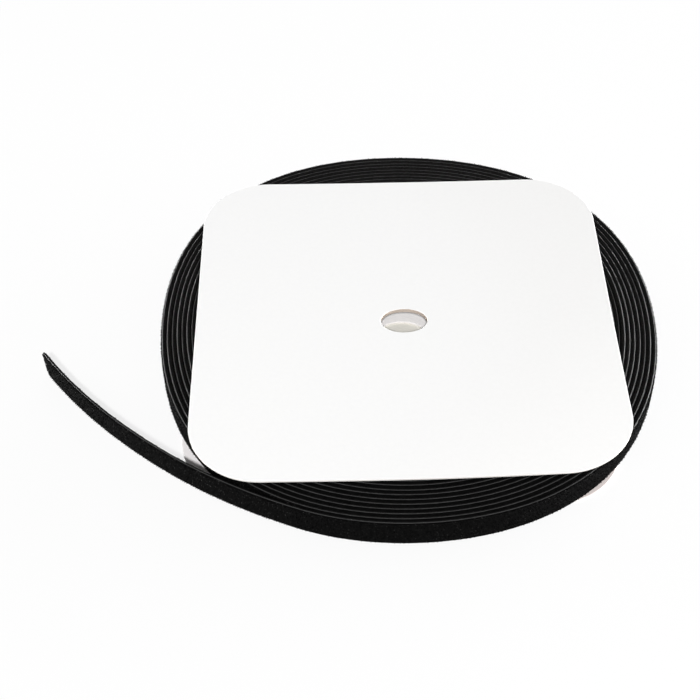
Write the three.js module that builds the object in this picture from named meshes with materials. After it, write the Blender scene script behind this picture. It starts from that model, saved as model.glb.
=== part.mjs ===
// A flat roll of narrow hook and loop tape, wound on edge on a paper core between two square cards.
// Millimetres, +Z up. The origin is on the roll's axis, at the underside of the bottom card.
import * as THREE from "three";

// Tape: hooks on its outer face, loops on its inner face
const TAPE_WIDTH = 10;
const HOOK_THICKNESS = 0.7;
const LOOP_THICKNESS = 0.55;
const BOND_GAP = 0.3; // between the two layers of one turn
const TURN_GAP = 0.4; // between one turn and the next
const TURNS = 22;
const STEPS_PER_TURN = 24;
const STRAIGHT_END = 1.6; // the strip's ends run straight for its own thickness

// Free end of the tape
const PEEL_ANGLE = THREE.MathUtils.degToRad(248); // where the tail leaves the roll, from +X
const TAIL_LENGTH = 114.5;
const TAIL_BEND_RADIUS = 206;
const TAIL_STEPS = 20;
const TABLE_GAP = 0.05; // the tail's far end rests this close to the table

// A hand-wound roll isn't round: the outer turns bulge in these lobes, the innermost turn follows the core
const LOBES = [
  { count: 2, height: 1.5, crest: THREE.MathUtils.degToRad(94) },
  { count: 3, height: 0.65, crest: THREE.MathUtils.degToRad(17) },
  { count: 4, height: 1.6, crest: THREE.MathUtils.degToRad(47) },
];

// Core and the tab that holds the inner end of the tape
const CORE_BORE = 94;
const CORE_WALL = 3;
const TAB_LENGTH = 9;
const TAB_WIDTH = 8;
const TAB_THICKNESS = 0.4;

// Cards
const CARD_SIDE = 152;
const CARD_THICKNESS = 0.8;
const CARD_CORNER = 25;
const CARD_CURVE_STEPS = 8;
const HOLE_WIDTH = 17;
const HOLE_DEPTH = 12;
const HOLE_OFFSET = 2.2; // from the card's middle towards one edge
const BOTTOM_CARD_PLACE = { x: -1, y: -0.5, turn: Math.PI }; // turned end for end, its hole towards the back
const TOP_CARD_PLACE = { x: -0.5, y: -1, turn: THREE.MathUtils.degToRad(3.5) };

const SEAT_GAP = 0.3; // between pieces that touch

// Sizes that follow from the ones above
const PITCH = HOOK_THICKNESS + BOND_GAP + LOOP_THICKNESS + TURN_GAP;
const LOOP_LAYER = { inner: 0, outer: LOOP_THICKNESS };
const HOOK_LAYER = { inner: LOOP_THICKNESS + BOND_GAP, outer: LOOP_THICKNESS + BOND_GAP + HOOK_THICKNESS };
const CORE_RADIUS = CORE_BORE / 2 + CORE_WALL;
const TAPE_BOTTOM = CARD_THICKNESS + SEAT_GAP;
const TOP_CARD_BOTTOM = TAPE_BOTTOM + TAPE_WIDTH + SEAT_GAP;
const CARD_REACH = (CARD_SIDE / 2 - CARD_CORNER) * Math.SQRT2 + CARD_CORNER; // axis to the card's corner

const cardboard = { color: 0xf4f2ee, roughness: 0.75, metalness: 0 };
const greyboard = { color: 0xa8937a, roughness: 0.9, metalness: 0 };
const hookNylon = { color: 0x1c1c1d, roughness: 0.6, metalness: 0 };
const loopNylon = { color: 0x0d0d0e, roughness: 0.95, metalness: 0 };

function piece(name, geometry, finish) {
  const mesh = new THREE.Mesh(geometry, new THREE.MeshStandardMaterial(finish));
  mesh.name = name;
  return mesh;
}

// A place on the tape's inner face: a point, the way the tape runs and how far it has sunk to the table.
// Its outward normal is a quarter turn to the left of the way it runs.
function station(point, heading, sink = 0) {
  const along = new THREE.Vector2(Math.cos(heading), Math.sin(heading));
  return { point, along, outward: new THREE.Vector2(-along.y, along.x), heading, sink };
}

function moved(place, distance) {
  return station(place.point.clone().addScaledVector(place.along, distance), place.heading, place.sink);
}

// The roll's spiral: from the core outwards the tape runs clockwise, and it ends at the peel angle.
function spiralPoint(turns) {
  const angle = PEEL_ANGLE + 2 * Math.PI * (TURNS - turns);
  const bulge = LOBES.reduce((sum, lobe) => sum + lobe.height * Math.cos(lobe.count * (angle - lobe.crest)), 0);
  const radius = CORE_RADIUS + SEAT_GAP + PITCH * turns + (bulge * turns) / TURNS;
  return new THREE.Vector2(radius * Math.cos(angle), radius * Math.sin(angle));
}

function spiralStation(turns) {
  const nudge = 1e-4;
  const way = spiralPoint(turns + nudge).sub(spiralPoint(turns - nudge));
  return station(spiralPoint(turns), way.angle());
}

function windingStations() {
  const count = TURNS * STEPS_PER_TURN;
  const wound = Array.from({ length: count + 1 }, (_, i) => spiralStation(i / STEPS_PER_TURN));
  return [moved(wound[0], -STRAIGHT_END), ...wound, moved(wound[count], STRAIGHT_END)];
}

// The tail bends gently on, one arc, and comes down to the table once it is clear of the cards' corners.
function tailStations(rollEnd) {
  const start = moved(rollEnd, SEAT_GAP);
  const places = Array.from({ length: TAIL_STEPS + 1 }, (_, i) => {
    const heading = start.heading - ((i / TAIL_STEPS) * TAIL_LENGTH) / TAIL_BEND_RADIUS;
    const offset = new THREE.Vector2(
      Math.sin(start.heading) - Math.sin(heading),
      Math.cos(heading) - Math.cos(start.heading),
    );
    return station(start.point.clone().addScaledVector(offset, TAIL_BEND_RADIUS), heading);
  });
  const clear = places.findIndex((place) => place.point.length() > CARD_REACH + SEAT_GAP);
  if (clear >= 0)
    places.slice(clear).forEach((place, i, rest) => {
      place.sink = ((TAPE_BOTTOM - TABLE_GAP) * i) / Math.max(rest.length - 1, 1);
    });
  return places;
}

// One layer of the tape along its stations: a closed tube of four sides.
function stripGeometry(places, layer) {
  const corners = places.flatMap(({ point, outward, sink }) => {
    const inner = point.clone().addScaledVector(outward, layer.inner);
    const outer = point.clone().addScaledVector(outward, layer.outer);
    const bottom = TAPE_BOTTOM - sink;
    const top = bottom + TAPE_WIDTH;
    return [inner.x, inner.y, bottom, outer.x, outer.y, bottom, outer.x, outer.y, top, inner.x, inner.y, top];
  });
  const last = 4 * (places.length - 1);
  const faces = [0, 2, 1, 0, 3, 2, last, last + 1, last + 2, last, last + 2, last + 3];
  for (let ring = 0; ring < last; ring += 4)
    for (let side = 0; side < 4; side++) {
      const [a, b] = [ring + side, ring + ((side + 1) % 4)];
      faces.push(a, b, b + 4, a, b + 4, a + 4);
    }
  const geometry = new THREE.BufferGeometry();
  geometry.setAttribute("position", new THREE.Float32BufferAttribute(corners, 3));
  geometry.setIndex(faces);
  return geometry;
}

// Least distance between the outer face of one turn and the inner face of the next, at the stations
// and half-way between them.
function leastGap(places, layer) {
  const face = (offset) => {
    const points = places.map(({ point, outward }) => point.clone().addScaledVector(outward, offset));
    return points.slice(1).flatMap((point, i) => [points[i], points[i].clone().lerp(point, 0.5)]);
  };
  const [inner, outer] = [face(layer.inner), face(layer.outer)];
  const turn = 2 * STEPS_PER_TURN;
  const gaps = outer.slice(0, -turn - 4).map((point, i) => {
    const next = inner.slice(Math.max(i + turn - 4, 0), i + turn + 5);
    return Math.min(...next.map((other) => other.distanceTo(point)));
  });
  return Math.min(...gaps);
}

function cardGeometry() {
  const middle = CARD_SIDE / 2 - CARD_CORNER;
  const outline = new THREE.Shape();
  for (let corner = 0; corner < 4; corner++) {
    const start = (corner * Math.PI) / 2;
    const side = new THREE.Vector2(middle, middle).rotateAround(new THREE.Vector2(), start);
    outline.absarc(side.x, side.y, CARD_CORNER, start, start + Math.PI / 2);
  }
  const hole = new THREE.Path();
  hole.absellipse(0, -HOLE_OFFSET, HOLE_WIDTH / 2, HOLE_DEPTH / 2, 0, 2 * Math.PI, true);
  outline.holes.push(hole);
  return new THREE.ExtrudeGeometry(outline, {
    depth: CARD_THICKNESS,
    bevelEnabled: false,
    curveSegments: CARD_CURVE_STEPS,
  });
}

// Both cards come from the same die. They are laid on by hand, a little off the roll's axis.
function card(name, place, bottom) {
  const mesh = piece(name, cardGeometry(), cardboard);
  mesh.position.set(place.x, place.y, bottom);
  mesh.rotation.z = place.turn;
  return mesh;
}

// The core's flats line up with the tape's steps.
function coreRing() {
  const wall = [
    [CORE_BORE / 2, 0],
    [CORE_RADIUS, 0],
    [CORE_RADIUS, TAPE_WIDTH],
    [CORE_BORE / 2, TAPE_WIDTH],
    [CORE_BORE / 2, 0],
  ].map(([radius, height]) => new THREE.Vector2(radius, height));
  const ring = piece("core_ring", new THREE.LatheGeometry(wall, STEPS_PER_TURN), greyboard);
  ring.geometry.rotateX(Math.PI / 2);
  ring.rotation.z = PEEL_ANGLE;
  ring.position.z = TAPE_BOTTOM;
  return ring;
}

// The tab lies on the flat of the core just behind the tape's inner end.
function startTab() {
  const halfStep = Math.PI / STEPS_PER_TURN;
  const tab = piece("start_tab", new THREE.BoxGeometry(TAB_THICKNESS, TAB_LENGTH, TAB_WIDTH), cardboard);
  const fromMiddle = CORE_RADIUS * Math.sin(halfStep) - STRAIGHT_END - SEAT_GAP - TAB_LENGTH / 2;
  tab.position.set(CORE_RADIUS * Math.cos(halfStep) + SEAT_GAP + TAB_THICKNESS / 2, -fromMiddle, TAPE_WIDTH / 2);
  const flat = new THREE.Group();
  flat.add(tab);
  flat.rotation.z = PEEL_ANGLE + halfStep;
  flat.position.z = TAPE_BOTTOM;
  return flat;
}

const winding = windingStations();
const tail = tailStations(winding[winding.length - 1]);
const layers = [
  { name: "hook_strip", layer: HOOK_LAYER, finish: hookNylon },
  { name: "loop_strip", layer: LOOP_LAYER, finish: loopNylon },
];

const roll = new THREE.Group();
roll.add(card("bottom_card", BOTTOM_CARD_PLACE, 0), coreRing(), startTab());
for (const { name, layer, finish } of layers) {
  roll.add(piece(`${name}_winding`, stripGeometry(winding, layer), finish));
  roll.add(piece(`${name}_tail`, stripGeometry(tail, layer), finish));
  console.log(`${name}_winding: least gap to itself ${leastGap(winding, layer).toFixed(2)} mm`);
}
roll.add(card("top_card", TOP_CARD_PLACE, TOP_CARD_BOTTOM));

export default roll;
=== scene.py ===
import math
import random

import bmesh
import bpy
import numpy as np
from mathutils import Matrix, Vector, noise


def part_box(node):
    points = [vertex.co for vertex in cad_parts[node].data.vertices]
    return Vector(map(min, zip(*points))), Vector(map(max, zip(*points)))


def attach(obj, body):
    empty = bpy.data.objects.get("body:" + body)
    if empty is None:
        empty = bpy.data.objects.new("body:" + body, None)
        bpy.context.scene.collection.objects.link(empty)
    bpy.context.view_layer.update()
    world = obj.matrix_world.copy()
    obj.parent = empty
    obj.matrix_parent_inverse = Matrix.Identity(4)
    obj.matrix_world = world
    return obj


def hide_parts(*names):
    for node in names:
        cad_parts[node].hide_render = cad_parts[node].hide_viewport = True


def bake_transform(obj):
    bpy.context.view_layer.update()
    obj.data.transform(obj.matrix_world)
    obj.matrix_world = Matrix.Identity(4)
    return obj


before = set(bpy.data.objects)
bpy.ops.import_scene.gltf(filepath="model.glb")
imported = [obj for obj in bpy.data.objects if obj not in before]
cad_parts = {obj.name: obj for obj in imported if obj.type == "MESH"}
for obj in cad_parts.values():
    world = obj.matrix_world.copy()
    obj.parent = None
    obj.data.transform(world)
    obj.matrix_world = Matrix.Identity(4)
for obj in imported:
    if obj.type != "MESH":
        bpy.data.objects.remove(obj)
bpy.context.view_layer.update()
mm = 0.001
weld = 2e-6  # merge distance, above the rounding of places ten metres along the tape
random.seed(12)
noise.seed_set(12)
print("frame loaded:", sorted(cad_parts))


def boxOf(node):  # a solid's lowest corner and its size, to a thousandth of a millimetre
    low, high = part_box(node)
    return [[round(value, 6) for value in corner] for corner in (low, high - low)]


# camera, from the photograph's perspective, with angles in degrees
shot = {
    "place": (0, -382.9 * mm, 395.1 * mm),
    "yaw": -3.067,
    "pitch": 46.364,
    "roll": -1.026,
    "fieldOfView": 26.69,
    "sensor": 36,
    "clip": (0.01, 20),
}


def makeCamera():
    yaw, pitch, roll = (math.radians(shot[key]) for key in ("yaw", "pitch", "roll"))
    ahead = Vector((math.sin(yaw) * math.cos(pitch), math.cos(yaw) * math.cos(pitch), -math.sin(pitch)))
    right = ahead.cross(Vector((0, 0, 1))).normalized()
    right.rotate(Matrix.Rotation(-roll, 3, ahead))
    up = right.cross(ahead)
    data = bpy.data.cameras.new("photoCamera")
    data.sensor_width = shot["sensor"]
    data.angle = math.radians(shot["fieldOfView"])
    data.clip_start, data.clip_end = shot["clip"]
    camera = bpy.data.objects.new("photoCamera", data)
    bpy.context.collection.objects.link(camera)
    turn = Matrix((right, up, -ahead)).transposed().to_4x4()
    camera.matrix_world = Matrix.Translation(shot["place"]) @ turn
    bpy.context.scene.camera = camera


makeCamera()
print("camera placed")


# node helpers for the finishes
def newFinish(name, sockets):
    finish = bpy.data.materials.new(name)
    finish.use_nodes = True
    tree = finish.node_tree
    shader = tree.nodes["Principled BSDF"]
    for socket, value in sockets.items():
        shader.inputs[socket].default_value = value
    return finish, tree, shader


def addNode(tree, kind, values=None, **settings):
    made = tree.nodes.new(kind)
    for key, value in settings.items():
        setattr(made, key, value)
    for key, value in (values or {}).items():
        made.inputs[key].default_value = value
    return made


def placeOf(tree, source, scale=(1, 1, 1), shift=(0, 0, 0)):
    coordinates = addNode(tree, "ShaderNodeTexCoord")
    mapping = addNode(tree, "ShaderNodeMapping", {"Scale": scale, "Location": shift})
    tree.links.new(coordinates.outputs[source], mapping.inputs["Vector"])
    return mapping.outputs["Vector"]


def awayFrom(tree, place):  # distance from the pattern's middle
    made = addNode(tree, "ShaderNodeVectorMath", operation="LENGTH")
    tree.links.new(place, made.inputs[0])
    return made.outputs["Value"]


def eased(tree, value, low, high, start=0):  # goes softly from start to 1 as value goes from low to high
    limits = {"From Min": low, "From Max": high, "To Min": start}
    made = addNode(tree, "ShaderNodeMapRange", limits, interpolation_type="SMOOTHSTEP")
    tree.links.new(value, made.inputs["Value"])
    return made.outputs["Result"]


def joined(tree, operation, first, second):
    made = addNode(tree, "ShaderNodeMath", operation=operation)
    tree.links.new(first, made.inputs[0])
    tree.links.new(second, made.inputs[1])
    return made.outputs[0]


def grain(tree, place, scale, detail=4, roughness=0.6):
    made = addNode(tree, "ShaderNodeTexNoise", {"Scale": scale, "Detail": detail, "Roughness": roughness})
    tree.links.new(place, made.inputs["Vector"])
    return made.outputs["Fac"]


def shades(tree, factor, stops):
    ramp = addNode(tree, "ShaderNodeValToRGB")
    while len(ramp.color_ramp.elements) < len(stops):
        ramp.color_ramp.elements.new(0.5)
    for element, (position, colour) in zip(ramp.color_ramp.elements, stops):
        element.position = position
        element.color = (*colour, 1)
    tree.links.new(factor, ramp.inputs["Fac"])
    return ramp.outputs["Color"]


def relief(tree, shader, height, strength, distance):
    bump = addNode(tree, "ShaderNodeBump", {"Strength": strength, "Distance": distance})
    tree.links.new(height, bump.inputs["Height"])
    tree.links.new(bump.outputs["Normal"], shader.inputs["Normal"])


# card faces: white in the middle, darker towards the corners, least of all on the left; on the under card
# the darkening is painted shade beside the roll and its paler middle is painted light
cardLook = {
    "topCard": [(0, (0.925, 0.924, 0.92)), (1, (0.915, 0.912, 0.905))],  # from the middle to the corners
    # under card: its own pinkish tone, lighter than the top card as painted light, darker towards the
    # corners as painted shade
    "underCard": [(0, (0.945, 0.92, 0.914)), (1, (0.7, 0.635, 0.615))],
    "cornerDarkening": (85 * mm, 130 * mm),
    "darkeningShift": (70 * mm, 0, 0),  # least of all on the left, where the under card's painted light reaches furthest
    "cloudSize": 640,
    "cloud": [(0.3, (0.985, 0.985, 0.985)), (0.7, (1, 1, 1))],
    "toothSize": 2600,
    "tooth": (0.25, 0.03 * mm),  # strength and height of the relief
    "sockets": {"Roughness": 0.85, "Specular IOR Level": 0},
}


def cardFinish(name):
    finish, tree, shader = newFinish(name, cardLook["sockets"])
    place = placeOf(tree, "Object")
    away = awayFrom(tree, placeOf(tree, "Object", shift=cardLook["darkeningShift"]))
    tone = shades(tree, eased(tree, away, *cardLook["cornerDarkening"]), cardLook[name])
    cloud = shades(tree, grain(tree, place, cardLook["cloudSize"], detail=3), cardLook["cloud"])
    fibres = addNode(tree, "ShaderNodeMix", {"Factor": 1.0}, data_type="RGBA", blend_type="MULTIPLY")
    tree.links.new(tone, fibres.inputs["A"])
    tree.links.new(cloud, fibres.inputs["B"])
    tree.links.new(fibres.outputs["Result"], shader.inputs["Base Color"])
    relief(tree, shader, grain(tree, place, cardLook["toothSize"], detail=5), *cardLook["tooth"])
    return finish


# raw paper: the cards' cut edges, the top card's punched hole edges browner as painted shade, and the tab
cardPulp = {
    "stretch": (1, 1, 9),  # the plies lie flat
    "size": 700,
    "detail": 4,
    "spread": (0.3, 0.7),
    "relief": (0.4, 0.05 * mm),
    "sockets": {"Roughness": 0.9},
}
tabPulp = {
    "stretch": (1, 1, 1),
    "size": 1200,
    "detail": 5,
    "spread": (0.3, 0.7),
    "relief": (0.3, 0.03 * mm),
    "sockets": {"Roughness": 0.8},
}


def pulpFinish(name, pulp, dark, pale):
    finish, tree, shader = newFinish(name, pulp["sockets"])
    fibres = grain(tree, placeOf(tree, "Object", pulp["stretch"]), pulp["size"], pulp["detail"])
    tone = shades(tree, fibres, list(zip(pulp["spread"], (dark, pale))))
    tree.links.new(tone, shader.inputs["Base Color"])
    relief(tree, shader, fibres, *pulp["relief"])
    return finish


# the core's board: rings of plies under loose pulp
coreLook = {
    "plies": {"Scale": 320, "Distortion": 1.2, "Detail": 3},
    "pulpSize": 900,
    "colours": [(0.05, (0.32, 0.25, 0.18)), (0.6, (0.55, 0.46, 0.35))],
    "relief": (0.4, 0.08 * mm),
    "sockets": {"Roughness": 0.9},
}


def coreBoardFinish():
    finish, tree, shader = newFinish("coreBoard", coreLook["sockets"])
    place = placeOf(tree, "Object")
    plies = addNode(tree, "ShaderNodeTexWave", coreLook["plies"], wave_type="RINGS", rings_direction="Z")
    tree.links.new(place, plies.inputs["Vector"])
    pulp = grain(tree, place, coreLook["pulpSize"], detail=6)
    board = joined(tree, "MULTIPLY", plies.outputs["Fac"], pulp)
    tree.links.new(shades(tree, board, coreLook["colours"]), shader.inputs["Base Color"])
    relief(tree, shader, board, *coreLook["relief"])
    return finish


# black nylon: how fine its patches are, its darkest and palest grey and where those lie, its relief
nylon = {
    "tints": ((1, 1, 1.02), (1, 0.985, 0.97)),  # of the darkest and the palest
    "patchy": 0.7,
    "finer": 3,  # the relief is this much finer than the patches
    "strength": 0.6,
}
tapeLook = {
    "filmEdge": {
        "size": 420,
        "greys": (0.003, 0.022),
        "spread": (0.36, 0.64),
        "lift": 0.04 * mm,
        "sockets": {"Roughness": 0.36, "Specular IOR Level": 0.5},
    },
    "hookBed": {
        "size": 800,
        "greys": (0.0008, 0.003),
        "spread": (0.36, 0.64),
        "lift": 0.12 * mm,
        "sockets": {"Roughness": 0.7, "Specular IOR Level": 0.03},
    },
    "hookTips": {
        "size": 1800,
        "greys": (0.001, 0.045),
        "spread": (0.53, 0.64),
        "lift": 0.05 * mm,
        "sockets": {"Roughness": 0.8, "Specular IOR Level": 0.01},
    },
    # the free end's hook tips, paler than the roll's: painted light
    "litTailTips": {
        "size": 1800,
        "greys": (0.001, 0.07),
        "spread": (0.53, 0.63),
        "lift": 0.05 * mm,
        "sockets": {"Roughness": 0.8, "Specular IOR Level": 0.01},
    },
    "loopNylon": {
        "size": 1400,
        "greys": (0.003, 0.014),
        "spread": (0.36, 0.64),
        "lift": 0.2 * mm,
        "sockets": {
            "Roughness": 0.95,
            "Specular IOR Level": 0.03,
            "Sheen Weight": 0.005,
            "Sheen Roughness": 0.5,
        },
    },
}


def tapeFinish(name):
    look = tapeLook[name]
    finish, tree, shader = newFinish(name, look["sockets"])
    place = placeOf(tree, "UV")
    patches = grain(tree, place, look["size"], roughness=nylon["patchy"])
    colours = [[grey * share for share in tint] for grey, tint in zip(look["greys"], nylon["tints"])]
    tone = shades(tree, patches, list(zip(look["spread"], colours)))
    tree.links.new(tone, shader.inputs["Base Color"])
    relief(tree, shader, grain(tree, place, look["size"] * nylon["finer"]), nylon["strength"], look["lift"])
    return finish


topCard = cardFinish("topCard")
underCard = cardFinish("underCard")
cutCard = pulpFinish("cutCard", cardPulp, dark=(0.8, 0.77, 0.74), pale=(0.9, 0.88, 0.85))
# the hole's edges: the same board as the outer cut edges, browner as painted shade of the hole
holeEdgeShade = pulpFinish("holeEdgeShade", cardPulp, dark=(0.6, 0.5, 0.42), pale=(0.76, 0.66, 0.58))
coreBoard = coreBoardFinish()
tabPaper = pulpFinish("tabPaper", tabPulp, dark=(0.76, 0.72, 0.63), pale=(0.86, 0.83, 0.76))
filmEdge = tapeFinish("filmEdge")
hookBed = tapeFinish("hookBed")
hookTips = tapeFinish("hookTips")
litTailTips = tapeFinish("litTailTips")
loopNylon = tapeFinish("loopNylon")
print("finishes made")


# mesh helpers
def vertsIn(items):
    return [item for item in items if isinstance(item, bmesh.types.BMVert)]


def turnVerts(bm, verts, angle, axis, centre=(0, 0, 0)):
    bmesh.ops.rotate(bm, cent=centre, matrix=Matrix.Rotation(angle, 3, axis), verts=verts)


def roundOff(bm, geom, offset, segments, affect):
    bmesh.ops.bevel(
        bm,
        geom=geom,
        offset=offset,
        offset_type="OFFSET",
        segments=segments,
        profile=0.5,
        affect=affect,
        material=-1,
    )


def finishPiece(name, bm, finishes, sharp=35):  # edges that bend by more degrees than sharp stay crisp
    mesh = bpy.data.meshes.new(name)
    bm.to_mesh(mesh)
    bm.free()
    for finish in finishes:
        mesh.materials.append(finish)
    mesh.polygons.foreach_set("use_smooth", [True] * len(mesh.polygons))
    mesh.set_sharp_from_angle(angle=math.radians(sharp))
    piece = bpy.data.objects.new(name, mesh)
    bpy.context.collection.objects.link(piece)
    return piece


# the tape's way: wound from the core outwards, then along the free end
tapeLow, tapeSize = boxOf("hook_strip_winding")
tape = {
    "turns": 22,
    "pitch": 1.95 * mm,
    "firstRadius": 50.3 * mm,
    "stationsPerTurn": 480,
    "peelAngle": math.radians(248),
    "lobes": [  # how many go round the roll, their height, where one of them is
        (2, 1.5 * mm, math.radians(94)),
        (3, 0.65 * mm, math.radians(17)),
        (4, 1.6 * mm, math.radians(47)),
    ],
    "lowerEdge": tapeLow[2],
    "width": tapeSize[2],
    "straight": 1.9 * mm,  # past the last turn, before the free end bends
    "seam": 0.15 * mm,  # roll and free end meet this much before the bend
    "tailLength": 114.5 * mm,
    "tailBend": 206 * mm,
    "tailStations": 240,
    "frayRoom": 2 * mm,
    "clearOfCards": 97.4 * mm,
    "tailSink": 1.05 * mm,  # its far end comes down to the table
    "tailIn": -0.6 * mm,  # it lies this much nearer the roll than its solid
    "tailInOver": (15 * mm, 75 * mm),
    "waver": 0.09 * mm,  # no two turns lie quite alike
    "waverWaves": [(31 * mm, 0), (83 * mm, 1.3)],  # length for each radian, and start
    "riseAndFall": 0.11 * mm,
    "riseWaves": [(47 * mm, 0.6), (193 * mm, 0)],
    "calmOver": 20 * mm,  # the outermost end lies still where the free end joins it
    "leanLow": 0.05 * mm,  # near the free end the tape leans: its lower edge comes out this much
    "leanHigh": 0.25 * mm,  # and its upper edge goes in this much
    "leanFrom": (-88 * mm, -62 * mm),
    "leanTo": (-40 * mm, 140 * mm),
}


def smooth(value, low, high):
    share = np.clip((value - low) / (high - low), 0, 1)
    return share * share * (3 - 2 * share)


def ripple(run, waves):
    return sum(np.sin(run / length + start) for length, start in waves) / len(waves)


def woundRoute():
    turns = np.linspace(0, tape["turns"], tape["turns"] * tape["stationsPerTurn"] + 1)
    angle = tape["peelAngle"] + 2 * np.pi * (tape["turns"] - turns)
    bulge = sum(height * np.cos(count * (angle - crest)) for count, height, crest in tape["lobes"])
    radius = tape["firstRadius"] + tape["pitch"] * turns + bulge * turns / tape["turns"]
    points = np.column_stack((radius * np.cos(angle), radius * np.sin(angle)))
    steps = np.linalg.norm(np.diff(points, axis=0), axis=1)
    run = np.concatenate(([0], np.cumsum(steps))) - steps.sum()  # 0 where the free end leaves the roll
    along = np.gradient(points, axis=0)
    calm = np.clip(-run / tape["calmOver"], 0, 1)
    return {
        "turns": turns,
        "run": run,
        "points": points,
        "heading": np.arctan2(along[:, 1], along[:, 0]),
        "shift": calm * ripple(run, tape["waverWaves"]) * tape["waver"],
        "sink": -calm * ripple(run, tape["riseWaves"]) * tape["riseAndFall"],
    }


def freeRoute(start, leave):
    bent = np.linspace(0, tape["tailLength"] + tape["frayRoom"], tape["tailStations"])
    heading = leave - bent / tape["tailBend"]
    straight = np.array((math.cos(leave), math.sin(leave))) * tape["straight"]
    bend = np.column_stack((math.sin(leave) - np.sin(heading), np.cos(heading) - math.cos(leave)))
    points = start + straight + bend * tape["tailBend"]
    first = int(np.argmax(np.linalg.norm(points, axis=1) > tape["clearOfCards"]))
    sink = np.zeros(len(bent))
    sink[first:] = np.linspace(0, tape["tailSink"], len(bent) - first)
    return {
        "run": bent + tape["straight"],
        "points": points,
        "heading": heading,
        "shift": smooth(bent, *tape["tailInOver"]) * tape["tailIn"],
        "sink": sink,
    }


def wholeRoute(wound, free):
    whole = {key: np.concatenate((wound[key], free[key])) for key in free}
    run, heading = whole["run"], whole["heading"]
    return {
        "run": run,
        "x": whole["points"][:, 0],
        "y": whole["points"][:, 1],
        "outX": -np.sin(heading),
        "outY": np.cos(heading),
        "shift": whole["shift"],
        "sink": whole["sink"],
        "lean": smooth(run, *tape["leanFrom"]) * (1 - smooth(run, *tape["leanTo"])),
    }


wound = woundRoute()
route = wholeRoute(wound, freeRoute(wound["points"][-1], wound["heading"][-1]))
peelRun = tape["straight"] - tape["seam"]
endRun = tape["straight"] + tape["tailLength"]


def runAt(turns):
    return np.interp(turns, wound["turns"], wound["run"])


def woundRuns(stepsPerTurn):
    turns = np.linspace(0, tape["turns"], tape["turns"] * stepsPerTurn + 1)
    return np.append(runAt(turns), peelRun)


def onRoute(flat):  # run along the tape, depth out from its inner face, height above its lower edge
    run, depth, height = np.asarray(flat, float).T
    at = {key: np.interp(run, route["run"], route[key]) for key in route if key != "run"}
    slope = tape["leanLow"] - (tape["leanLow"] + tape["leanHigh"]) * height / tape["width"]
    depth = depth + at["shift"] + at["lean"] * slope
    x = at["x"] + at["outX"] * depth
    y = at["y"] + at["outY"] * depth
    return np.column_stack((x, y, tape["lowerEdge"] + height - at["sink"]))


def wind(bm):
    placed = onRoute([vert.co for vert in bm.verts])
    for vert, place in zip(bm.verts, placed):
        vert.co = place


# a closed tube, still flat: section is depth, height, and finish of the side that starts there
def stripAlong(runs, section):
    bm = bmesh.new()
    uv = bm.loops.layers.uv.new("tapeUv")
    around, steps = len(section), len(runs) - 1
    bmesh.ops.create_grid(bm, x_segments=steps, y_segments=around, size=1)
    sides = [math.dist(section[i][:2], section[(i + 1) % around][:2]) for i in range(around)]
    girth = np.concatenate(([0], np.cumsum(sides)))
    cell = {}
    for vert in bm.verts:
        column, row = (vert.co.x + 1) / 2 * steps, (vert.co.y + 1) / 2 * around
        cell[vert] = (round(column), round(row))
    for face in bm.faces:
        rows = [cell[vert][1] for vert in face.verts]
        face.material_index = section[min(rows)][2]
        for loop in face.loops:
            column, row = cell[loop.vert]
            loop[uv].uv = (runs[column], girth[row])
    for vert, (column, row) in cell.items():
        depth, height, _ = section[row % around]
        vert.co = (runs[column], depth, height)
    bmesh.ops.remove_doubles(bm, verts=bm.verts, dist=weld)
    bmesh.ops.holes_fill(bm, edges=[edge for edge in bm.edges if edge.is_boundary], sides=0)
    bmesh.ops.recalc_face_normals(bm, faces=bm.faces)
    return bm


# hook layer: a film with a bed of hooks on its outer face, bare along its upper edge
hookLayer = {
    "filmIn": 0.57 * mm,
    "filmOut": 0.92 * mm,
    "bedOut": 1.7 * mm,
    "lowBedOut": 1.25 * mm,  # where single hooks stand on it
    "lowBedTurns": 1.01,  # how many of the outermost turns have the low bed
    "crown": 0.16 * mm,  # rounding of the film's edges
    "bare": 0.375 * mm,  # these three are measured down from the upper edge
    "shoulder": 0.5 * mm,
    "bedFrom": 0.8 * mm,
    "bedPoints": 8,
    "stepsPerTurn": 120,
    "sharp": 50,
}


def hookSection(bedOut, bedPoints):
    filmIn, filmOut, crown = (hookLayer[key] for key in ("filmIn", "filmOut", "crown"))
    rim = [(filmIn, crown), (filmIn + crown, 0), (filmOut - crown, 0)]
    lower = rim + [(bedOut - crown, 0), (bedOut, crown)]  # below, the bed is slit off flush with the film
    stepped = rim + [
        (filmOut, crown),
        (filmOut, hookLayer["bare"]),
        ((filmOut + bedOut) / 2, hookLayer["shoulder"]),
        (bedOut, hookLayer["bedFrom"]),
    ]
    upper = [(depth, tape["width"] - height) for depth, height in reversed(stepped)]
    between = np.linspace(lower[-1][1], upper[0][1], bedPoints + 2)[1:-1]
    points = lower + [(bedOut, height) for height in between] + upper
    edge, bed = 0, 1
    rims = {0, 1, len(points) - 4, len(points) - 3, len(points) - 2}  # the film's edges, below and above
    return [(*point, edge if i in rims else bed) for i, point in enumerate(points)]


def makeHookWinding():
    section = hookSection(hookLayer["bedOut"], hookLayer["bedPoints"])
    bm = stripAlong(woundRuns(hookLayer["stepsPerTurn"]), section)
    outerTurn = runAt(tape["turns"] - hookLayer["lowBedTurns"])
    for vert in bm.verts:
        if vert.co.x > outerTurn:
            vert.co.y = min(vert.co.y, hookLayer["lowBedOut"])
    wind(bm)
    piece = finishPiece("hook_winding", bm, [filmEdge, hookBed], hookLayer["sharp"])
    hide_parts("hook_strip_winding")
    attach(piece, "roll")


makeHookWinding()
print("hook layer wound")


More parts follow.
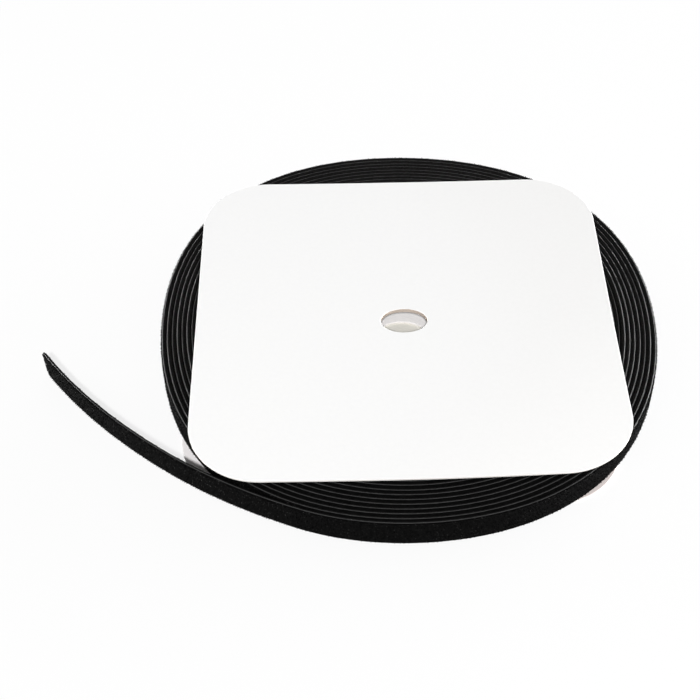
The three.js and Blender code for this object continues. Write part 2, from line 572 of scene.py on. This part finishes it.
# loop layer: a backing with a thick pile on the inner side
loopLayer = {
    "edge": [  # depth, and distance from the upper or lower edge
        (0.55 * mm, 0),
        (0.28 * mm, 0.04 * mm),
        (0.28 * mm, 0.4 * mm),
        (0.05 * mm, 0.36 * mm),
        (-0.224 * mm, 0.76 * mm),
    ],
    "pileIn": -0.32 * mm,
    "pilePoints": 8,
    "stepsPerTurn": 130,
    "unevenFrom": 0.27 * mm,  # the pile is uneven inwards of this depth
    "uneven": (0.1 * mm, 0.06 * mm),  # in depth and in height
    "unevenSize": 1.3 * mm,
    "sharp": 35,
}


def loopSection(pilePoints):
    upper = [(depth, tape["width"] - inset) for depth, inset in loopLayer["edge"]]
    lower = loopLayer["edge"][::-1]
    between = np.linspace(upper[-1][1], lower[0][1], pilePoints + 2)[1:-1]
    pile = [(loopLayer["pileIn"], height) for height in between]
    return [(*point, 0) for point in upper + pile + lower]


def roughenPile(bm, firstRun):  # small uneven shifts past firstRun
    deep, high = loopLayer["uneven"]
    for vert in bm.verts:
        if vert.co.x > firstRun and vert.co.y < loopLayer["unevenFrom"]:
            shift = noise.noise_vector(vert.co / loopLayer["unevenSize"])
            vert.co.y += shift.y * deep
            vert.co.z += shift.z * high


def makeLoopWinding():
    bm = stripAlong(woundRuns(loopLayer["stepsPerTurn"]), loopSection(loopLayer["pilePoints"]))
    roughenPile(bm, -math.inf)
    wind(bm)
    piece = finishPiece("loop_winding", bm, [loopNylon], loopLayer["sharp"])
    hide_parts("loop_strip_winding")
    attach(piece, "roll")


makeLoopWinding()
print("loop layer wound")


# the moulded hooks: one patch, repeated along the tape
hooks = {
    "columns": 12,
    "step": 0.9 * mm,
    "rows": 12,
    "rowStep": 0.84 * mm,
    "lowest": 0.2 * mm,
    "stagger": (0.25, 0.75),  # shares of a step, in even and odd rows
    "stray": (0.26 * mm, 0.182 * mm),  # along the tape and in height
    "lost": 0.08,
    "sides": 4,
    "stem": 0.38 * mm,
    "foot": 0.21 * mm,
    "neck": 0.15 * mm,
    "tip": (0.2 * mm, 0.15 * mm),  # how far it hangs over and how high it stands
    "tipLean": math.radians(55),
    "twist": 0.5,
    "sunk": 0.36 * mm,
    "uneven": 0.12 * mm,
    "turnsCovered": 1.004,
    "sharp": 60,
}


def oneHook(bm, run, height, lean):
    stem = bmesh.ops.create_cone(
        bm,
        cap_ends=True,
        segments=hooks["sides"],
        radius1=hooks["foot"],
        radius2=hooks["neck"],
        depth=hooks["stem"],
    )["verts"]
    faces = {face for vert in stem for face in vert.link_faces}
    top = max(faces, key=lambda face: face.calc_center_median().z)
    foot = min(faces, key=lambda face: face.calc_center_median().z)
    tip = bmesh.ops.extrude_discrete_faces(bm, faces=[top])["faces"][0]
    turnVerts(bm, tip.verts, lean * hooks["tipLean"], "Y", tip.calc_center_median())
    over, up = hooks["tip"]
    bmesh.ops.translate(bm, vec=(lean * over, 0, up), verts=tip.verts)
    verts = list({*stem, *tip.verts})
    bmesh.ops.delete(bm, geom=[foot], context="FACES_ONLY")
    turnVerts(bm, verts, math.radians(-90), "X")  # hooks stand on the outer face
    turnVerts(bm, verts, random.uniform(-hooks["twist"], hooks["twist"]), "Y")
    middle = hookLayer["lowBedOut"] + hooks["stem"] / 2 - hooks["sunk"]
    depth = middle + random.uniform(-1, 1) * hooks["uneven"]
    bmesh.ops.translate(bm, vec=(run, depth, height), verts=verts)


def hookPatch():
    bm = bmesh.new()
    bm.loops.layers.uv.new("tapeUv")
    for column in range(hooks["columns"]):
        for row in range(hooks["rows"]):
            strayRun, strayHeight = [random.uniform(-1, 1) * stray for stray in hooks["stray"]]
            if random.random() < hooks["lost"]:
                continue
            run = (column + hooks["stagger"][row % 2]) * hooks["step"] + strayRun
            height = hooks["lowest"] + row * hooks["rowStep"] + strayHeight
            oneHook(bm, run, height, lean=1 if (column + row) % 2 else -1)
    for vert in bm.verts:
        vert.co.z = min(max(vert.co.z, 0), tape["width"])  # slit off with the film's edges
    return bm


def repeatAlong(bm, patchLength, startRun, stopRun):
    patch = bm.verts[:] + bm.edges[:] + bm.faces[:]
    bmesh.ops.translate(bm, vec=(startRun, 0, 0), verts=bm.verts)
    for copy in range(1, math.ceil((stopRun - startRun) / patchLength)):
        made = bmesh.ops.duplicate(bm, geom=patch)["geom"]
        bmesh.ops.translate(bm, vec=(copy * patchLength, 0, 0), verts=vertsIn(made))
    spare = [vert for vert in bm.verts if not startRun <= vert.co.x <= stopRun]
    linked = {other for vert in spare for face in vert.link_faces for other in face.verts}
    linked |= {other for vert in linked for face in vert.link_faces for other in face.verts}
    bmesh.ops.delete(bm, geom=list(linked | set(spare)), context="VERTS")
    uv = bm.loops.layers.uv["tapeUv"]
    for face in bm.faces:
        for loop in face.loops:
            loop[uv].uv = (loop.vert.co.x + loop.vert.co.y, loop.vert.co.z)


def hooksAlong(startRun, stopRun):
    bm = hookPatch()
    repeatAlong(bm, hooks["columns"] * hooks["step"], startRun, stopRun)
    return bm


def makeRollHooks():
    bm = hooksAlong(runAt(tape["turns"] - hooks["turnsCovered"]), peelRun)
    wind(bm)
    piece = finishPiece("roll_hooks", bm, [hookTips], hooks["sharp"])
    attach(piece, "roll")


makeRollHooks()
print("hooks on the outermost turn")


# the free end: both layers, its hooks and its loops bend together between the roll and the cut end
freeEnd = {
    "stations": 150,
    "points": 24,
    "ragged": 2.2 * mm,
    "raggedOver": 3 * mm,
    "jagHeight": 1.2 * mm,
    "jagDepth": 6 * mm,
    "jagSeed": 3.1,
    "slant": 1.0 * mm,
    "spare": 0.4 * mm,
    "evenFor": 1 * mm,  # the pile starts level with the roll's
    "bendDepth": 0.8 * mm,
    "cordDepth": 0.75 * mm,
    "cordPoints": 40,
}
pileLoops = {
    "count": 130,
    "patch": 10 * mm,
    "margin": 0.6 * mm,
    "radius": 0.24 * mm,
    "thread": 0.055 * mm,
    "sides": 3,
    "steps": 5,
    "stretch": (0.9, 1.5),
    "lean": 0.6,
    "root": -0.05 * mm,
    "sharp": 60,
}


def fray(bm):  # the cut end was snipped by hand
    for vert in bm.verts:
        share = max(0, 1 - (endRun - vert.co.x) / freeEnd["raggedOver"])
        spot = (freeEnd["jagSeed"], vert.co.z / freeEnd["jagHeight"], vert.co.y / freeEnd["jagDepth"])
        slope = (vert.co.z / tape["width"] - 0.5) * 2  # -1 at the lower edge, 1 at the upper
        reach = noise.noise(Vector(spot)) * freeEnd["ragged"] + slope * freeEnd["slant"] + freeEnd["spare"]
        vert.co.x += share**2 * reach


def oneLoop(bm, run, height):
    thread = bmesh.ops.create_circle(bm, segments=pileLoops["sides"], radius=pileLoops["thread"])["verts"]
    bmesh.ops.translate(bm, vec=(pileLoops["radius"], 0, 0), verts=thread)
    edges = list({edge for vert in thread for edge in vert.link_edges})
    before = set(bm.verts)
    bmesh.ops.spin(
        bm,
        geom=thread + edges,
        cent=(0, 0, 0),
        axis=(0, 1, 0),
        angle=math.radians(-180),
        steps=pileLoops["steps"],
    )
    verts = thread + [vert for vert in bm.verts if vert not in before]
    stretch = Matrix.Diagonal((1, 1, random.uniform(*pileLoops["stretch"])))
    turn = Matrix.Rotation(random.uniform(0, math.pi), 3, "Z")
    lean = Matrix.Rotation(random.uniform(-pileLoops["lean"], pileLoops["lean"]), 3, "X")
    inward = Matrix.Rotation(math.radians(90), 3, "X")  # loops stand on the inner face
    for vert in verts:
        vert.co = inward @ turn @ lean @ stretch @ vert.co
    bmesh.ops.translate(bm, vec=(run, pileLoops["root"], height), verts=verts)


def loopPatch():
    bm = bmesh.new()
    bm.loops.layers.uv.new("tapeUv")
    low, high = pileLoops["margin"], tape["width"] - pileLoops["margin"]
    for _ in range(pileLoops["count"]):
        oneLoop(bm, random.uniform(0, pileLoops["patch"]), random.uniform(low, high))
    bmesh.ops.recalc_face_normals(bm, faces=bm.faces)
    return bm


def tailPiece(name, bm, finishes, sharp):
    fray(bm)
    wind(bm)
    piece = finishPiece(name, bm, finishes, sharp)
    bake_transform(piece)
    return piece


def makeHookTail():
    runs = np.linspace(peelRun, endRun, freeEnd["stations"])
    bm = stripAlong(runs, hookSection(hookLayer["lowBedOut"], freeEnd["points"]))
    piece = tailPiece("hook_tail", bm, [filmEdge, hookBed], hookLayer["sharp"])
    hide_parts("hook_strip_tail")
    return piece


def makeLoopTail():
    runs = np.linspace(peelRun, endRun, 2 * freeEnd["stations"])
    bm = stripAlong(runs, loopSection(freeEnd["points"]))
    roughenPile(bm, peelRun + freeEnd["evenFor"])
    piece = tailPiece("loop_tail", bm, [loopNylon], loopLayer["sharp"])
    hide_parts("loop_strip_tail")
    return piece


def makeTailHooks():
    bm = hooksAlong(peelRun, endRun)
    # the free end's hooks take the paler tips, painted light
    return tailPiece("tail_hooks", bm, [litTailTips], hooks["sharp"])


def makeTailLoops():
    bm = loopPatch()
    repeatAlong(bm, pileLoops["patch"], peelRun, endRun)
    return tailPiece("tail_loops", bm, [loopNylon], pileLoops["sharp"])


def makeFreeEnd():
    hookTail = makeHookTail()
    others = [makeLoopTail(), makeTailHooks(), makeTailLoops()]


makeFreeEnd()
print("free end bent off the roll")


# cards: die-cut, with round corners, an oval hole and softly crushed cut edges
cardLow, cardSize = boxOf("bottom_card")
topCardLow = boxOf("top_card")[0]
card = {
    "side": cardSize[0],
    "thickness": cardSize[2],
    "corner": 25 * mm,
    "cornerSteps": 23,
    "sideCuts": 11,
    "rings": 14,
    "hole": (17 * mm, 12 * mm),
    "holeMiddle": Vector((0, -2.2 * mm, 0)),
    "topRound": 0.3 * mm,  # the die rounds the upper edge most
    "underRound": 0.08 * mm,
    "roundSteps": 3,
    "cutAngle": math.radians(60),  # edges that bend more than this are cut edges
    "faceTilt": 0.3,  # steeper faces show the cut board
    "lipReach": 0.55,  # of the hole's length
    "curlFrom": 0.4,  # shares of the way to the front right corner
    "curlOver": 0.5,
    "sharp": 12,
}
cardPlaces = {
    "bottom_card": {
        "at": (cardLow[0] + cardSize[0] / 2, cardLow[1] + cardSize[1] / 2, cardLow[2]),
        "turn": math.pi,
        "bow": 0,
        "curl": 0,
        "lip": 0,
        "finishes": [underCard, cutCard, cutCard],
    },
    "top_card": {
        "at": (-0.5 * mm, -0.65 * mm, topCardLow[2]),
        "turn": math.radians(3.2),
        "bow": 0.7 * mm,
        "curl": 2 * mm,
        "lip": 0.9 * mm,
        "finishes": [topCard, cutCard, holeEdgeShade],
    },
}


def cardSheet():  # in rings that lead from the outline to the hole
    bm = bmesh.new()
    bmesh.ops.create_grid(bm, x_segments=1, y_segments=1, size=card["side"] / 2)
    roundOff(bm, bm.verts[:], card["corner"], card["cornerSteps"], "VERTICES")
    bmesh.ops.delete(bm, geom=bm.faces[:], context="FACES_ONLY")
    longSides = [edge for edge in bm.edges if edge.calc_length() > card["corner"]]
    bmesh.ops.subdivide_edges(bm, edges=longSides, cuts=card["sideCuts"])
    ring = bmesh.ops.create_circle(bm, segments=len(bm.edges), radius=0.5)["verts"]
    bmesh.ops.scale(bm, vec=(*card["hole"], 1), verts=ring)
    bmesh.ops.translate(bm, vec=card["holeMiddle"], verts=ring)
    spokes = bmesh.ops.bridge_loops(bm, edges=bm.edges[:])["edges"]
    bmesh.ops.subdivide_edges(bm, edges=spokes, cuts=card["rings"], use_grid_fill=True)
    return bm


def thickenCard(bm):
    grown = bmesh.ops.extrude_face_region(bm, geom=bm.faces[:])["geom"]
    bmesh.ops.translate(bm, vec=(0, 0, card["thickness"]), verts=vertsIn(grown))
    bmesh.ops.recalc_face_normals(bm, faces=bm.faces)
    for rounding, high in ((card["topRound"], True), (card["underRound"], False)):
        cuts = [edge for edge in bm.edges if edge.calc_face_angle(0) > card["cutAngle"]]
        rims = [edge for edge in cuts if (edge.verts[0].co.z > card["thickness"] / 2) == high]
        roundOff(bm, rims, rounding, card["roundSteps"], "EDGES")
    bm.normal_update()
    for face in bm.faces:
        inHole = (face.calc_center_median() - card["holeMiddle"]).length < card["hole"][0]
        # faces in the hole take the third finish, which on the top card is the painted shade of the hole
        cut = 2 if inHole else 1
        face.material_index = 0 if abs(face.normal.z) > card["faceTilt"] else cut


def bendCard(bm, place):
    for vert in bm.verts:
        nearHole = (vert.co - card["holeMiddle"]).length < card["hole"][0] * card["lipReach"]
        if nearHole and vert.co.z < card["thickness"] / 2:
            vert.co.z -= place["lip"]  # the punch has pressed the hole's rim down
        sideways = vert.co.x / (card["side"] / 2)
        towards = (vert.co.x - vert.co.y) / card["side"]
        corner = min(max((towards - card["curlFrom"]) / card["curlOver"], 0), 1)
        vert.co.z += place["bow"] * sideways**2 + place["curl"] * corner**2


def makeCard(node):
    place = cardPlaces[node]
    bm = cardSheet()
    thickenCard(bm)
    bendCard(bm, place)
    turnVerts(bm, bm.verts, place["turn"], "Z")
    bmesh.ops.translate(bm, vec=place["at"], verts=bm.verts)
    piece = finishPiece(f"{node}_board", bm, place["finishes"], card["sharp"])
    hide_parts(node)
    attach(piece, node)


for node in cardPlaces:
    makeCard(node)
print("cards cut")


# paper core and the tab under the first turn
core = {
    "bore": 47 * mm,
    "outside": 49.6 * mm,
    "edgeRound": 0.25 * mm,
    "roundSteps": 3,
    "steps": 160,
}
tab = {
    "inside": 49.7 * mm,
    "thickness": 0.35 * mm,
    "width": 8 * mm,
    "length": 9 * mm,
    "behind": 2.4 * mm,
    "steps": 8,
}


def wallFace(inside, outside, low, high):  # an upright face, to be spun round the axis
    bm = bmesh.new()
    bmesh.ops.create_grid(bm, x_segments=1, y_segments=1, size=0.5)
    turnVerts(bm, bm.verts, math.radians(90), "X")
    bmesh.ops.scale(bm, vec=(outside - inside, 1, high - low), verts=bm.verts)
    bmesh.ops.translate(bm, vec=((inside + outside) / 2, 0, (low + high) / 2), verts=bm.verts)
    return bm


def spinWall(bm, angle, steps, full):
    geom = bm.verts[:] + bm.edges[:] + bm.faces[:]
    bmesh.ops.spin(
        bm,
        geom=geom,
        cent=(0, 0, 0),
        axis=(0, 0, 1),
        angle=angle,
        steps=steps,
        use_merge=full,
    )
    bmesh.ops.remove_doubles(bm, verts=bm.verts, dist=weld)
    bmesh.ops.recalc_face_normals(bm, faces=bm.faces)


def makeCore():
    low = tape["lowerEdge"]
    bm = wallFace(core["bore"], core["outside"], low, low + tape["width"])
    roundOff(bm, bm.verts[:], core["edgeRound"], core["roundSteps"], "VERTICES")
    bmesh.ops.delete(bm, geom=bm.faces[:], context="FACES_ONLY")
    spinWall(bm, 2 * math.pi, core["steps"], full=True)
    piece = finishPiece("paper_core", bm, [coreBoard])
    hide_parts("core_ring")
    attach(piece, "roll")


def makeTab():
    low = tape["lowerEdge"] + (tape["width"] - tab["width"]) / 2
    bm = wallFace(tab["inside"], tab["inside"] + tab["thickness"], low, low + tab["width"])
    turnVerts(bm, bm.verts, tape["peelAngle"] + tab["behind"] / tab["inside"], "Z")
    spinWall(bm, tab["length"] / tab["inside"], tab["steps"], full=False)
    piece = finishPiece("start_tab_paper", bm, [tabPaper])
    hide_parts("start_tab")
    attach(piece, "roll")


makeCore()
makeTab()
print("core and tab")


# studio: white floor, soft key on the camera's line, low strips at the sides and the back, even fill
studio = {
    "floor": 6.0,
    "floorDrop": 0.02 * mm,
    "floorColour": (0.95, 0.95, 0.95),
    "floorSockets": {"Roughness": 0.9, "Specular IOR Level": 0.1},
    "floorGlow": 0.78,  # share of plain white that the camera sees in the floor near the roll
    "allWhite": (0.3, 0.9),  # further off the floor turns into the white backdrop
    "tableShadeUnderRoll": (0.78, 0.76, 0.7),  # the table's own tone, darkened as painted shade under the roll, seen only through the holes
    "tableShadeReach": (0.03, 0.08),
    "fill": 0.15,
    "lamps": {
        "softKey": {"place": (0.015, -1.985, 2.045), "power": 77, "size": (0.2, 0.2), "gleams": False},
        "rightStrip": {"place": (1.38, 0.7, 0.09), "power": 60, "size": (2.2, 0.14), "gleams": True},
        "leftStrip": {"place": (-1.34, 0.85, 0.09), "power": 40, "size": (2.2, 0.14), "gleams": True},
        "backStrip": {"place": (0.2, 1.6, 0.09), "power": 22, "size": (1.6, 0.14), "gleams": True},
    },
}


def seenRays(tree):  # rays that show the white backdrop as it is
    rays = addNode(tree, "ShaderNodeLightPath").outputs
    direct = joined(tree, "MAXIMUM", rays["Is Camera Ray"], rays["Is Glossy Ray"])
    return joined(tree, "MAXIMUM", direct, rays["Is Transmission Ray"])


def makeFloor():
    bm = bmesh.new()
    bmesh.ops.create_grid(bm, x_segments=1, y_segments=1, size=studio["floor"] / 2)
    bmesh.ops.translate(bm, vec=(0, 0, -studio["floorDrop"]), verts=bm.verts)
    finish, tree, shader = newFinish("floorPaper", studio["floorSockets"])
    away = awayFrom(tree, placeOf(tree, "Object"))
    # under the roll the floor takes the darker tone, painted shade seen through the holes, and no glow
    reach = eased(tree, away, *studio["tableShadeReach"])
    tone = shades(tree, reach, [(0, studio["tableShadeUnderRoll"]), (1, studio["floorColour"])])
    tree.links.new(tone, shader.inputs["Base Color"])
    white = eased(tree, away, *studio["allWhite"], start=studio["floorGlow"])
    share = joined(tree, "MULTIPLY", seenRays(tree), joined(tree, "MULTIPLY", reach, white))
    glow = addNode(tree, "ShaderNodeEmission")
    mix = addNode(tree, "ShaderNodeMixShader")
    tree.links.new(share, mix.inputs["Fac"])
    tree.links.new(shader.outputs["BSDF"], mix.inputs[1])
    tree.links.new(glow.outputs["Emission"], mix.inputs[2])
    tree.links.new(mix.outputs["Shader"], tree.nodes["Material Output"].inputs["Surface"])
    finishPiece("floor", bm, [finish])


def makeWorld():
    world = bpy.data.worlds.new("studio")
    bpy.context.scene.world = world
    world.use_nodes = True
    tree = world.node_tree
    background = tree.nodes["Background"]
    strength = addNode(tree, "ShaderNodeMapRange", {"To Min": studio["fill"], "To Max": 1.0})
    tree.links.new(seenRays(tree), strength.inputs["Value"])
    background.inputs["Color"].default_value = (1, 1, 1, 1)
    tree.links.new(strength.outputs["Result"], background.inputs["Strength"])


def makeLamps():
    for name, lamp in studio["lamps"].items():
        data = bpy.data.lights.new(name, "AREA")
        data.shape = "RECTANGLE"
        data.energy = lamp["power"]
        data.size, data.size_y = lamp["size"]
        holder = bpy.data.objects.new(name, data)
        bpy.context.collection.objects.link(holder)
        holder.visible_glossy = lamp["gleams"]
        holder.location = lamp["place"]
        holder.rotation_euler = (-Vector(lamp["place"])).to_track_quat("-Z", "Y").to_euler()


makeFloor()
makeWorld()
makeLamps()
bpy.context.scene.view_settings.view_transform = "Standard"
print("studio lit")
